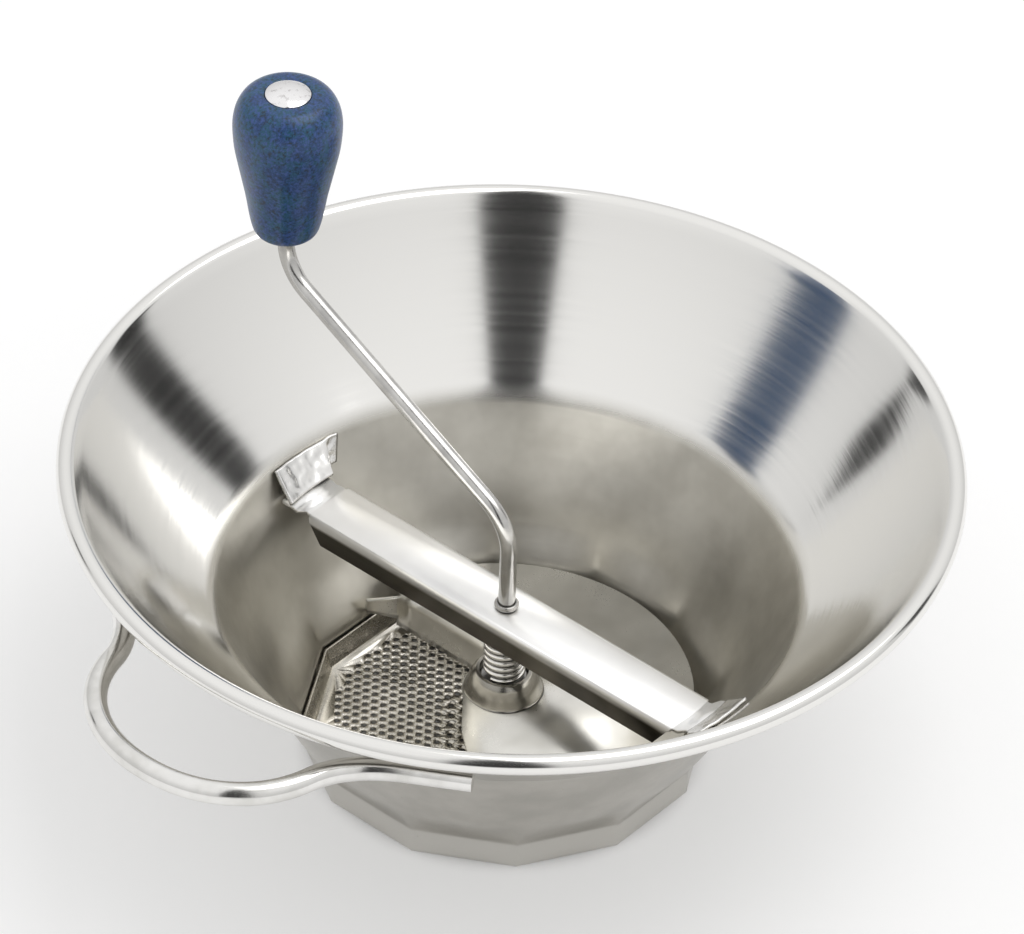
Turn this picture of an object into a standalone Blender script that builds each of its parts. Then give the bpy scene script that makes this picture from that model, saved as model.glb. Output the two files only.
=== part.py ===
"""Food mill: a flared steel bowl on a twelve-sided foot, with a wire side handle, a perforated
sieve, a bayonet crossbar, and a cranked blade that a spring presses on the sieve.

Metres, +Z up. The part stands on its foot, and +X is the way the side handle points. Every
piece is drawn about the bowl's axis, which a root empty carries to its place in the frame.
"""

import math

import bmesh
import bpy
from mathutils import Matrix, Vector

# Fits
FIT_GAP = 0.0003
RUN_GAP = 0.0006

# Bowl
BOWL_SHEET = 0.001
FOOT_SIDES = 12
FOOT_TURN = math.radians(15)
FOOT_CORNER_RADIUS = 0.0703
FOOT_HEIGHT = 0.0112
FOOT_BEND = 0.0015
FLANGE_WIDTH = 0.0075
CREASE_RADIUS = 0.1013
CREASE_HEIGHT = 0.0694
RIM_RADIUS = 0.155
RIM_TOP = 0.1237
CURL_RADIUS = 0.0035
CURL_SWEEP = math.radians(300)
CURL_STEPS = 8
FLARE_END_TURN = math.radians(9.7)
FLARE_PULL_SHARE = 0.478
SECTOR_SHARES = (-0.04, 0.04, 0.27, 0.5, 0.73)
FLARE_SHARES = (0.03, 0.35, 0.68, 1.0)
CONE_FADE_SHARES = ((0.0, 1.0), (0.07, 0.85), (0.15, 0.45), (0.25, 0.1), (0.36, 0.0), (0.975, 0.0))

# Side handle
HANDLE_WIRE_RADIUS = 0.00425
HANDLE_FLARE_SHARE = 0.735
HANDLE_LEG_TURN = math.radians(31)
HANDLE_LEG_TAIL = 0.0124
HANDLE_NECK_WIDTH = 0.095
HANDLE_SHOULDER_WIDTH = 0.0818
HANDLE_END_WIDTH = 0.0338
HANDLE_REACH = 0.1878
HANDLE_NECK_BEND = 0.009
HANDLE_SHOULDER_BEND = 0.014
HANDLE_END_BEND = 0.02
HANDLE_SHOULDER_SHARE = 0.62

# Sieve
SIEVE_SHEET = 0.001
SIEVE_RIM_HEIGHT = 0.0075
SIEVE_RIM_LEAN = 0.0022
SIEVE_FOLD = 0.0012
HOLE_DIAMETER = 0.0024
HOLE_PITCH = 0.0091
HOLE_RINGS = 6
HOLE_SIDES = 6

# Crossbar
BAR_SHEET = 0.0015
BAR_DROP = 0.0118
BAR_WIDTH = 0.023
BAR_DEPTH = 0.0093
BAR_EDGE_RADIUS = 0.0023
BAR_EDGE_STEPS = 3
BAR_FLANGE_SLANT = 0.0065
TAB_LENGTH = 0.011
TAB_WIDTH = 0.02
TAB_SHIFT = 0.0019
TAB_RISE = 0.0018
TAB_WALL_GAP = 0.0008
TAB_SHOULDER_SHARES = ((0.0, 0.0, 0.0), (0.2, 0.15, 0.0), (0.34, 0.4, 1.0), (0.58, 1.0, 1.0), (1.0, 1.0, 1.0))

# Lugs under which the crossbar's tabs turn
LUG_SHEET = 0.0012
LUG_STAND = 0.0048
LUG_FLANGE = 0.004
LUG_CHEEK = 0.0022
LUG_CLOSED_SIDE = 0.0099
LUG_OPEN_SIDE = 0.0122
LUG_SKEW = 0.0045
LUG_TOP_DROP = 0.0008
LUG_ROWS = 4
LUG_COLUMNS = 4

# Bush and spring under the crossbar
BUSH_WALL = 0.0006
BUSH_FLANGE_RADIUS = 0.0065
BUSH_FLANGE = 0.0008
WASHER_RADIUS = 0.0078
WASHER_THICKNESS = 0.0008
SPRING_RADIUS = 0.0075
SPRING_WIRE_RADIUS = 0.001
SPRING_TURNS = 9
SPRING_TURN_POINTS = 10

# Crank rod
ROD_RADIUS = 0.003
ROD_BEND = 0.018
ROD_BEND_STEPS = 5
CRANK_TURN = math.radians(266.5)
CRANK_RISE = 0.0362
CRANK_SLANT = math.radians(24.2)
CRANK_REACH = 0.1106
COLLAR_RADIUS = 0.0043
COLLAR_HEIGHT = 0.0024
COLLAR_ROUND = 0.0008

# Knob
KNOB_RADIUS = 0.0189
KNOB_LENGTH = 0.0583
KNOB_STAND = 0.0164
KNOB_CAP_RADIUS = 0.0079
KNOB_CAP_SEAT = 0.0042
KNOB_CAP_RISE = 0.0017
KNOB_CAP_SHEET = 0.001
KNOB_POCKET_RADIUS = 0.0055
KNOB_POCKET_DEPTH = 0.005
KNOB_BASE_POCKET = 0.0032
STOP_RING_RADIUS = 0.0048
STOP_RING_HEIGHT = 0.0022
PUSH_NUT_HEIGHT = 0.0016
KNOB_SHARES = (
    (0.53, 1.0), (0.66, 0.992), (0.83, 0.955), (0.935, 0.898), (0.986, 0.835), (1.0, 0.76),
    (0.97, 0.635), (0.905, 0.52), (0.82, 0.385), (0.75, 0.27), (0.685, 0.14), (0.635, 0.062),
    (0.585, 0.02), (0.5, 0.0),
)
CAP_SHARES = ((0.0, 1.0), (0.38, 0.9), (0.7, 0.6), (0.92, 0.22), (1.0, 0.0))

# Hub and blade
BLADE_SHEET = 0.0015
BLADE_RADIUS = 0.0664
BLADE_WALL_HEIGHT = 0.0154
BLADE_SWEEP_GAP = 0.003
BLADE_BEND = 0.002
BLADE_BEND_STEPS = 3
LEAD_OFFSET = 0.0182
LEAD_TURN = math.radians(51)
LEAD_INNER_RUN = 0.02
TRAIL_OFFSET = 0.015
WALL_INNER_REACH = 0.0065
WALL_FOOT_RUN = 0.0095
WALL_EDGE_GAP = 0.0016
FLAP_LENGTH = 0.0112
FLAP_TURN = math.radians(62)
FLAP_DROP = 0.0125
FLAP_END_DROP = 0.0068
BLADE_EYE_RADIUS = 0.0143
EYE_FIRST_TURN = math.radians(201)
EYE_LAST_TURN = math.radians(321)
BLADE_ARC_STEPS = 20
BLADE_EYE_STEPS = 8
HUB_RADIUS = 0.014
HUB_HEIGHT = 0.0083
HUB_CROWN_RADIUS = 0.0095
HUB_WELL_RADIUS = 0.0084
HUB_WELL_DEPTH = 0.0032
HUB_SHARES = ((0.0, 0.0), (0.15, 0.04), (0.42, 0.2), (0.64, 0.48), (0.84, 0.8), (1.0, 1.0))
END_WASHER_RADIUS = 0.009
END_WASHER_THICKNESS = 0.0012
END_NUT_RADIUS = 0.006
END_NUT_HEIGHT = 0.004
END_NUT_SIDES = 6

# Fineness
ROUND_STEPS = 32
SMALL_STEPS = 24
SHARP_ANGLE = math.radians(35)
MERGE_DISTANCE = 0.00001
WELD_DISTANCE = 0.00001

# Heights and places that follow from the sizes above
SECTOR = 2 * math.pi / FOOT_SIDES
BOWL_AXIS_X = (RIM_RADIUS - HANDLE_REACH) / 2
BEAD_CENTRE_RADIUS = RIM_RADIUS - CURL_RADIUS
BEAD_CENTRE_HEIGHT = RIM_TOP - CURL_RADIUS
WIRE_RADIUS = CURL_RADIUS - BOWL_SHEET - RUN_GAP
BAR_TOP = CREASE_HEIGHT - BAR_DROP
BAR_UNDERSIDE = BAR_TOP - BAR_SHEET
TAB_TOP = BAR_TOP + TAB_RISE
SIEVE_TOP = BOWL_SHEET + FIT_GAP + SIEVE_SHEET
BLADE_TOP = SIEVE_TOP + BLADE_SWEEP_GAP + BLADE_WALL_HEIGHT
HUB_BASE = BLADE_TOP + FIT_GAP
HUB_TOP = HUB_BASE + HUB_HEIGHT
BORE_RADIUS = ROD_RADIUS + FIT_GAP
BUSH_RADIUS = BORE_RADIUS + BUSH_WALL
BUSH_BASE = BAR_UNDERSIDE - FIT_GAP - BUSH_FLANGE
UPPER_WASHER_BASE = BUSH_BASE - FIT_GAP - WASHER_THICKNESS
LOWER_WASHER_BASE = HUB_TOP - HUB_WELL_DEPTH + FIT_GAP
SPRING_BASE = LOWER_WASHER_BASE + WASHER_THICKNESS + FIT_GAP
SPRING_TOP = UPPER_WASHER_BASE - FIT_GAP
ARM_BASE = BAR_TOP + CRANK_RISE
ARM_TOP = ARM_BASE + CRANK_REACH * math.tan(CRANK_SLANT)
KNOB_BASE = ARM_TOP + KNOB_STAND
KNOB_TOP = KNOB_BASE + KNOB_LENGTH
CAP_BASE = KNOB_TOP - KNOB_CAP_SEAT + FIT_GAP
POCKET_BASE = KNOB_TOP - KNOB_CAP_SEAT - KNOB_POCKET_DEPTH
ROD_TOP = POCKET_BASE + FIT_GAP + PUSH_NUT_HEIGHT + FIT_GAP
END_WASHER_BASE = BLADE_TOP - BLADE_SHEET - FIT_GAP - END_WASHER_THICKNESS
END_NUT_BASE = END_WASHER_BASE - FIT_GAP - END_NUT_HEIGHT
KNOB_AXIS = Vector((math.cos(CRANK_TURN), math.sin(CRANK_TURN), 0)) * CRANK_REACH


# Scene and materials


def clear_scene():
    """Start from an empty file."""
    for item in list(bpy.data.objects):
        bpy.data.objects.remove(item, do_unlink=True)


def new_collection(name):
    """A collection linked to the scene."""
    collection = bpy.data.collections.new(name)
    bpy.context.scene.collection.children.link(collection)
    return collection


def new_material(name, colour, metallic, roughness):
    """A plain surface of one colour."""
    material = bpy.data.materials.new(name)
    material.use_nodes = True
    shader = material.node_tree.nodes["Principled BSDF"]
    shader.inputs["Base Color"].default_value = (*colour, 1.0)
    shader.inputs["Metallic"].default_value = metallic
    shader.inputs["Roughness"].default_value = roughness
    return material


def steel(name):
    """Bright stainless sheet."""
    return new_material(name, (0.72, 0.71, 0.69), 1.0, 0.22)


def plated(name):
    """Greyer plated wire and fasteners."""
    return new_material(name, (0.58, 0.58, 0.58), 1.0, 0.3)


def new_empty(name, parent, place):
    """An axis that pieces hang on."""
    empty = bpy.data.objects.new(name, None)
    mill.objects.link(empty)
    empty.parent = parent
    empty.location = place
    return empty


def add_piece(name, mesh, material, parent):
    """Link a finished mesh as one named piece."""
    piece = bpy.data.objects.new(name, mesh)
    mesh.materials.clear()
    mesh.materials.append(material)
    mill.objects.link(piece)
    piece.parent = parent
    return piece


def add_cutter(name, mesh, parent):
    """Link a mesh that only cuts others."""
    cutter = bpy.data.objects.new(name, mesh)
    cutters.objects.link(cutter)
    cutter.parent = parent
    cutter.hide_render = True
    cutter.display_type = "WIRE"
    return cutter


def cut(piece, cutter):
    """Take the cutter's shape out of the piece."""
    modifier = piece.modifiers.new("cut", "BOOLEAN")
    modifier.operation = "DIFFERENCE"
    modifier.object = cutter
    modifier.solver = "EXACT"


def evaluated_mesh(item, name):
    """The mesh that an object's modifiers and curve settings give."""
    graph = bpy.context.evaluated_depsgraph_get()
    graph.update()
    mesh = bpy.data.meshes.new_from_object(item.evaluated_get(graph))
    mesh.name = name
    return mesh


def smooth(mesh):
    """Round faces shade smooth, and edges over the sharp angle stay crisp."""
    mesh.shade_smooth()
    mesh.set_sharp_from_angle(angle=SHARP_ANGLE)


# Shapes


def turned(name, outline, steps, material, parent, ring=True):
    """A turned piece from points (radius, height) that run down its outer side."""
    edges = [(i, i + 1) for i in range(len(outline) - 1)]
    if ring:
        edges.append((len(outline) - 1, 0))
    mesh = bpy.data.meshes.new(name)
    mesh.from_pydata([(radius, 0, height) for radius, height in outline], edges, [])
    piece = bpy.data.objects.new(name, mesh)
    bpy.context.scene.collection.objects.link(piece)
    screw = piece.modifiers.new("turn", "SCREW")
    screw.steps = steps
    screw.render_steps = steps
    screw.use_merge_vertices = True
    screw.merge_threshold = MERGE_DISTANCE
    solid = evaluated_mesh(piece, name)
    bpy.data.objects.remove(piece, do_unlink=True)
    smooth(solid)
    return add_piece(name, solid, material, parent)


def ring_outline(inner, outer, base, top):
    """A plain washer's section."""
    return [(outer, top), (outer, base), (inner, base), (inner, top)]


def tube(name, points, radius, fineness, material, parent, closed=False):
    """A round wire through the points."""
    curve = bpy.data.curves.new(name, "CURVE")
    curve.dimensions = "3D"
    curve.bevel_depth = radius
    curve.bevel_resolution = fineness
    curve.use_fill_caps = not closed
    spline = curve.splines.new("POLY")
    spline.points.add(len(points) - 1)
    for target, point in zip(spline.points, points):
        target.co = (*point, 1.0)
    spline.use_cyclic_u = closed
    wire = bpy.data.objects.new(name, curve)
    bpy.context.scene.collection.objects.link(wire)
    solid = evaluated_mesh(wire, name)
    bpy.data.objects.remove(wire, do_unlink=True)
    shape = bmesh.new()
    shape.from_mesh(solid)
    bmesh.ops.remove_doubles(shape, verts=shape.verts, dist=WELD_DISTANCE)
    bmesh.ops.recalc_face_normals(shape, faces=shape.faces)
    shape.to_mesh(solid)
    shape.free()
    smooth(solid)
    return add_piece(name, solid, material, parent)


def rounded_path(corners, bends, steps):
    """A path through the corners, with each inner corner turned on its bend radius."""
    path = [corners[0]]
    for before, corner, after, bend in zip(corners, corners[1:], corners[2:], bends):
        back = (before - corner).normalized()
        ahead = (after - corner).normalized()
        half_turn = (math.pi - back.angle(ahead)) / 2
        reach = bend * math.tan(half_turn)
        centre = corner + (back + ahead).normalized() * bend / math.cos(half_turn)
        start = (corner + back * reach - centre).normalized()
        end = (corner + ahead * reach - centre).normalized()
        path.extend(centre + start.slerp(end, step / steps) * bend for step in range(steps + 1))
    path.append(corners[-1])
    return path


def sheet_from_faces(name, points, faces, thickness, material, parent):
    """Sheet metal: an open surface with its thickness behind it."""
    mesh = bpy.data.meshes.new(name)
    mesh.from_pydata(points, [], faces)
    smooth(mesh)
    piece = add_piece(name, mesh, material, parent)
    solid = piece.modifiers.new("sheet", "SOLIDIFY")
    solid.thickness = thickness
    solid.offset = -1
    solid.use_even_offset = True
    return piece


def grid_faces(rows, columns, closed=False):
    """Faces of a grid whose points are listed row by row."""
    faces = []
    for row in range(rows - 1):
        for column in range(columns if closed else columns - 1):
            ahead = (column + 1) % columns
            low = row * columns
            high = low + columns
            faces.append((low + column, high + column, high + ahead, low + ahead))
    return faces


def rod_mesh(name, radius, sides, length, height):
    """A short upright rod on the axis, centred at a height."""
    shape = bmesh.new()
    bmesh.ops.create_cone(
        shape, cap_ends=True, segments=sides, radius1=radius, radius2=radius,
        depth=length, matrix=Matrix.Translation((0, 0, height)),
    )
    mesh = bpy.data.meshes.new(name)
    shape.to_mesh(mesh)
    shape.free()
    return mesh


def shaft_cutter(name, radius, length, height, parent):
    """A short rod on the axis that cuts a round hole."""
    return add_cutter(name, rod_mesh(name, radius, SMALL_STEPS, length, height), parent)


# Bowl


def sector_angles():
    """Angles of the points round the bowl, with a close pair at each corner of the foot."""
    angles = []
    for side in range(FOOT_SIDES):
        angles.extend(FOOT_TURN + (side + share) * SECTOR for share in SECTOR_SHARES)
    return angles


def sided_radius(radius, flat_share, angle):
    """Radius at an angle of a ring that is twelve-sided at a share of one and round at zero."""
    from_middle = (angle - FOOT_TURN) % SECTOR - SECTOR / 2
    sided = math.cos(SECTOR / 2) / math.cos(from_middle)
    return radius * (1 + flat_share * (sided - 1))


def wall_radius(height):
    """Inside radius of the lower cone where it is round."""
    share = (height - FOOT_HEIGHT) / (CREASE_HEIGHT - FOOT_HEIGHT)
    return FOOT_CORNER_RADIUS + share * (CREASE_RADIUS - FOOT_CORNER_RADIUS)


def wall_lean():
    """Angle of the lower cone's wall from upright."""
    return math.atan2(CREASE_RADIUS - FOOT_CORNER_RADIUS, CREASE_HEIGHT - FOOT_HEIGHT)


def flare_curve():
    """Ends and pull point of the flare's inside line, and the angle at which it meets the rim."""
    start = Vector((CREASE_RADIUS, CREASE_HEIGHT))
    bead = Vector((BEAD_CENTRE_RADIUS, BEAD_CENTRE_HEIGHT))
    to_bead = bead - start
    slope = math.atan2(to_bead.y, to_bead.x) + FLARE_END_TURN
    along = Vector((math.cos(slope), math.sin(slope)))
    end = bead + Vector((-along.y, along.x)) * CURL_RADIUS
    pull = end - along * (end - start).length * FLARE_PULL_SHARE
    return start, pull, end, slope


def flare_point(share):
    """Point on the flare's inside line."""
    start, pull, end, _ = flare_curve()
    return start.lerp(pull, share).lerp(pull.lerp(end, share), share)


def bowl_rings():
    """Rings of the bowl's inner face from the foot's flange to the curled rim."""
    flat_edge = FOOT_CORNER_RADIUS - FOOT_BEND
    rings = [
        (FOOT_CORNER_RADIUS - FLANGE_WIDTH, BOWL_SHEET, 1.0),
        (flat_edge, BOWL_SHEET, 1.0),
        (FOOT_CORNER_RADIUS, BOWL_SHEET + FOOT_BEND, 1.0),
    ]
    for share, flat_share in CONE_FADE_SHARES:
        height = FOOT_HEIGHT + share * (CREASE_HEIGHT - FOOT_HEIGHT)
        rings.append((wall_radius(height), height, flat_share))
    for share in FLARE_SHARES:
        point = flare_point(share)
        rings.append((point.x, point.y, 0.0))
    slope = flare_curve()[3] + math.pi / 2
    for step in range(1, CURL_STEPS + 1):
        angle = slope - CURL_SWEEP * step / CURL_STEPS
        radius = BEAD_CENTRE_RADIUS + CURL_RADIUS * math.cos(angle)
        rings.append((radius, BEAD_CENTRE_HEIGHT + CURL_RADIUS * math.sin(angle), 0.0))
    return rings


def ring_points(rings):
    """Points of the rings, ring by ring."""
    points = []
    for radius, height, flat_share in rings:
        for angle in sector_angles():
            reach = sided_radius(radius, flat_share, angle)
            points.append((reach * math.cos(angle), reach * math.sin(angle), height))
    return points


def build_bowl(root):
    """Bowl sheet from the flange under the sieve to the rim curled round its wire."""
    rings = bowl_rings()
    faces = grid_faces(len(rings), len(sector_angles()), closed=True)
    sheet_from_faces("bowl_shell", ring_points(rings), faces, BOWL_SHEET, steel("bowl_steel"), root)


def build_rim_wire(root):
    """Stiffening wire inside the curled rim."""
    points = []
    for angle in sector_angles():
        place = (math.cos(angle), math.sin(angle), 0)
        points.append(Vector(place) * BEAD_CENTRE_RADIUS + Vector((0, 0, BEAD_CENTRE_HEIGHT)))
    tube("rim_wire", points, WIRE_RADIUS, 1, plated("rim_wire_steel"), root, closed=True)


# Side handle


def handle_contact():
    """Distance from the axis and height of the handle's straight legs under the flare."""
    start, pull, end, _ = flare_curve()
    share = HANDLE_FLARE_SHARE
    along = (start.lerp(pull, share) - pull.lerp(end, share)).normalized()
    outward = Vector((-along.y, along.x))
    return flare_point(share) + outward * (BOWL_SHEET + FIT_GAP + HANDLE_WIRE_RADIUS)


def handle_side(side):
    """Corners of one side of the handle, from its cut end to its outer bend."""
    contact = handle_contact()
    normal = Vector((math.cos(HANDLE_LEG_TURN), math.sin(HANDLE_LEG_TURN)))
    along = Vector((-normal.y, normal.x))
    tail = normal * contact.x + along * HANDLE_LEG_TAIL
    neck_half = HANDLE_NECK_WIDTH / 2
    neck = Vector(((contact.x - neck_half * normal.y) / normal.x, neck_half))
    reach = HANDLE_REACH - HANDLE_WIRE_RADIUS
    shoulder_x = neck.x + (reach - neck.x) * HANDLE_SHOULDER_SHARE
    shoulder = Vector((shoulder_x, HANDLE_SHOULDER_WIDTH / 2))
    outer = Vector((reach, HANDLE_END_WIDTH / 2))
    corners = [tail, neck, shoulder, outer]
    return [Vector((corner.x, corner.y * side, contact.y)) for corner in corners]


def build_side_handle(root):
    """One bent wire welded under the flare by two straight legs."""
    left = handle_side(1)
    right = handle_side(-1)
    bends = [HANDLE_NECK_BEND, HANDLE_SHOULDER_BEND, HANDLE_END_BEND]
    path = rounded_path(left + right[::-1], bends + bends[::-1], ROD_BEND_STEPS)
    tube("side_handle", path, HANDLE_WIRE_RADIUS, 3, steel("handle_steel"), root)


# Sieve


def hole_places():
    """Centres of the sieve's holes in staggered rows."""
    places = []
    for row in range(-HOLE_RINGS, HOLE_RINGS + 1):
        count = 2 * HOLE_RINGS + 1 - abs(row)
        for index in range(count):
            x = (index - (count - 1) / 2) * HOLE_PITCH
            places.append((x, row * HOLE_PITCH * math.sin(math.pi / 3)))
    return places


def hole_cutter(root):
    """All the sieve's holes as one group of short rods."""
    shape = bmesh.new()
    depth = 4 * SIEVE_SHEET
    for x, y in hole_places():
        place = Matrix.Translation((x, y, SIEVE_TOP - SIEVE_SHEET / 2))
        bmesh.ops.create_cone(
            shape, cap_ends=True, segments=HOLE_SIDES, radius1=HOLE_DIAMETER / 2,
            radius2=HOLE_DIAMETER / 2, depth=depth, matrix=place,
        )
    mesh = bpy.data.meshes.new("sieve_holes")
    shape.to_mesh(mesh)
    shape.free()
    return add_cutter("sieve_holes", mesh, root)


def sieve_ring(radius, height):
    """Twelve corners at one level."""
    ring = []
    for side in range(FOOT_SIDES):
        angle = FOOT_TURN + side * SECTOR
        ring.append((radius * math.cos(angle), radius * math.sin(angle), height))
    return ring


def build_sieve(root):
    """Flat perforated sheet with an upturned rim, resting on the foot's flange."""
    brim = FOOT_CORNER_RADIUS - RUN_GAP - SIEVE_SHEET
    fold = brim - SIEVE_RIM_LEAN
    levels = (
        (fold - SIEVE_FOLD, SIEVE_TOP),
        (fold, SIEVE_TOP + SIEVE_FOLD),
        (brim, SIEVE_TOP + SIEVE_RIM_HEIGHT),
    )
    points = []
    for radius, height in levels:
        points.extend(sieve_ring(radius, height))
    faces = [tuple(range(FOOT_SIDES))]
    faces.extend(grid_faces(len(levels), FOOT_SIDES, closed=True))
    piece = sheet_from_faces("sieve", points, faces, SIEVE_SHEET, steel("sieve_steel"), root)
    cut(piece, hole_cutter(root))


# Crossbar


def bar_section():
    """Half section of the channel as (x, height), from the flange's foot over the top."""
    half = BAR_WIDTH / 2
    section = [(-half, BAR_TOP - BAR_DEPTH)]
    for step in range(BAR_EDGE_STEPS + 1):
        angle = math.pi - step * math.pi / 2 / BAR_EDGE_STEPS
        x = BAR_EDGE_RADIUS - half + BAR_EDGE_RADIUS * math.cos(angle)
        section.append((x, BAR_TOP - BAR_EDGE_RADIUS + BAR_EDGE_RADIUS * math.sin(angle)))
    return section + [(-x, height) for x, height in reversed(section)]


def tab_reach():
    """How far a tab's end is from the axis, so that its corners clear the wall."""
    corner = TAB_WIDTH / 2 + TAB_SHIFT
    return math.sqrt((wall_radius(BAR_TOP) - TAB_WALL_GAP) ** 2 - corner ** 2)


def tab_rows(side):
    """Rows of a tab from the channel's top to its end, shifted sideways as a bayonet."""
    top_half = BAR_WIDTH / 2 - BAR_EDGE_RADIUS
    fold = tab_reach() - TAB_LENGTH
    rows = []
    for length_share, rise_share, width_share in TAB_SHOULDER_SHARES:
        half = top_half + width_share * (TAB_WIDTH / 2 - top_half)
        shift = -side * width_share * TAB_SHIFT
        y = side * (fold + length_share * TAB_LENGTH)
        height = BAR_TOP + rise_share * TAB_RISE
        rows.append([(shift - half, y, height), (shift + half, y, height)])
    return rows


def build_crossbar(parent):
    """Folded channel across the bowl with a raised tab at each end and a hole for the bush."""
    section = bar_section()
    fold = tab_reach() - TAB_LENGTH
    points = []
    for side in (-1, 1):
        for x, height in section:
            slant = BAR_FLANGE_SLANT * (BAR_TOP - height) / BAR_DEPTH
            points.append((x, side * (fold - slant), height))
    count = len(section)
    faces = [(i, i + 1, count + i + 1, count + i) for i in range(count - 1)]
    middle = count // 2
    for side, base in ((-1, 0), (1, count)):
        edge = (base + middle - 1, base + middle)
        for row in tab_rows(side)[1:]:
            first = len(points)
            points.extend(row)
            face = (edge[0], edge[1], first + 1, first)
            faces.append(face if side > 0 else face[::-1])
            edge = (first, first + 1)
    piece = sheet_from_faces("crossbar", points, faces, BAR_SHEET, steel("crossbar_steel"), parent)
    cut(piece, shaft_cutter("bar_hole", BUSH_RADIUS + FIT_GAP, 4 * BAR_SHEET, BAR_TOP, parent))




def build_bush(parent):
    """Flanged bush that the crank rod turns in."""
    outline = [
        (BUSH_RADIUS, BAR_TOP),
        (BUSH_RADIUS, BUSH_BASE + BUSH_FLANGE),
        (BUSH_FLANGE_RADIUS, BUSH_BASE + BUSH_FLANGE),
        (BUSH_FLANGE_RADIUS, BUSH_BASE),
        (BORE_RADIUS, BUSH_BASE),
        (BORE_RADIUS, BAR_TOP),
    ]
    turned("bar_bush", outline, SMALL_STEPS, plated("bush_steel"), parent)


def build_lug(name, side, root):
    """Pressed lug on the wall, closed at one end, that a tab of the crossbar turns under."""
    bottom = TAB_TOP + RUN_GAP + LUG_SHEET
    top = CREASE_HEIGHT - LUG_TOP_DROP
    seat = (RUN_GAP + LUG_SHEET) / math.cos(wall_lean())
    points = []
    for row in range(LUG_ROWS + 1):
        share = row / LUG_ROWS
        height = bottom + share * (top - bottom)
        for across, stand_share in lug_row(share):
            stand = seat + LUG_STAND * (1 - share) * stand_share
            reach = wall_radius(height) - stand
            angle = across / reach - math.pi / 2
            points.append((reach * math.cos(angle) * side, reach * math.sin(angle) * side, height))
    columns = len(lug_row(0))
    faces = grid_faces(LUG_ROWS + 1, columns)
    sheet_from_faces(name, points, faces, LUG_SHEET, steel(name + "_steel"), root)


def lug_row(share):
    """Sideways places of a lug's points, and how far each stands off as a share."""
    skew = share * LUG_SKEW
    crown = -LUG_CLOSED_SIDE - skew
    foot = crown - LUG_CHEEK
    end = LUG_OPEN_SIDE - skew / 2
    row = [(foot - LUG_FLANGE, 0.0), (foot, 0.0)]
    for column in range(LUG_COLUMNS + 1):
        row.append((crown + (end - crown) * column / LUG_COLUMNS, 1.0))
    return row


# Spring


def spring_points():
    """Centre line of the spring."""
    rise = SPRING_TOP - SPRING_BASE - 2 * SPRING_WIRE_RADIUS
    reach = SPRING_RADIUS - SPRING_WIRE_RADIUS
    count = SPRING_TURNS * SPRING_TURN_POINTS
    points = []
    for index in range(count + 1):
        angle = 2 * math.pi * index / SPRING_TURN_POINTS
        height = SPRING_BASE + SPRING_WIRE_RADIUS + rise * index / count
        points.append(Vector((reach * math.cos(angle), reach * math.sin(angle), height)))
    return points


def least_coil_gap(points):
    """Least distance between the wire's surface in neighbouring turns."""
    least = math.inf
    for index, point in enumerate(points):
        for other in points[index + SPRING_TURN_POINTS // 2:]:
            least = min(least, (point - other).length)
    return least - 2 * SPRING_WIRE_RADIUS


def build_spring(parent):
    """Compression spring between the crossbar and the hub."""
    points = spring_points()
    print("least gap of the spring to itself (m):", round(least_coil_gap(points), 6))
    tube("spring", points, SPRING_WIRE_RADIUS, 1, plated("spring_steel"), parent)


def build_washer(name, base, parent):
    """Thin washer at an end of the spring."""
    outline = ring_outline(BORE_RADIUS, WASHER_RADIUS, base, base + WASHER_THICKNESS)
    turned(name, outline, SMALL_STEPS, plated(name + "_steel"), parent)


# Crank


def build_crank_rod(parent):
    """Rod from under the blade up through the crossbar, out along the arm and into the knob."""
    corners = [
        Vector((0, 0, END_NUT_BASE)),
        Vector((0, 0, ARM_BASE)),
        KNOB_AXIS + Vector((0, 0, ARM_TOP)),
        KNOB_AXIS + Vector((0, 0, ROD_TOP)),
    ]
    path = rounded_path(corners, [ROD_BEND, ROD_BEND], ROD_BEND_STEPS)
    tube("crank_rod", path, ROD_RADIUS, 3, plated("crank_rod_steel"), parent)


def build_collar(parent):
    """Rounded ring on the rod that rests on the crossbar."""
    base = BAR_TOP + FIT_GAP
    top = base + COLLAR_HEIGHT - FIT_GAP
    outline = [
        (COLLAR_RADIUS - COLLAR_ROUND, top),
        (COLLAR_RADIUS, top - COLLAR_ROUND),
        (COLLAR_RADIUS, base + COLLAR_ROUND),
        (COLLAR_RADIUS - COLLAR_ROUND, base),
        (BORE_RADIUS, base),
        (BORE_RADIUS, top),
    ]
    turned("rod_collar", outline, SMALL_STEPS, plated("collar_steel"), parent)


def build_hub(parent):
    """Domed hub with a well for the spring's lower end."""
    outline = hub_dome() + [
        (BORE_RADIUS, HUB_BASE),
        (BORE_RADIUS, HUB_TOP - HUB_WELL_DEPTH),
        (HUB_WELL_RADIUS, HUB_TOP - HUB_WELL_DEPTH),
        (HUB_WELL_RADIUS, HUB_TOP),
    ]
    turned("hub", outline, ROUND_STEPS, steel("hub_steel"), parent)


def hub_dome():
    """Outer line of the hub from its crown down to its base."""
    spread = HUB_RADIUS - HUB_CROWN_RADIUS
    return [
        (HUB_CROWN_RADIUS + spread * reach, HUB_TOP - HUB_HEIGHT * drop)
        for reach, drop in HUB_SHARES
    ]


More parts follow.
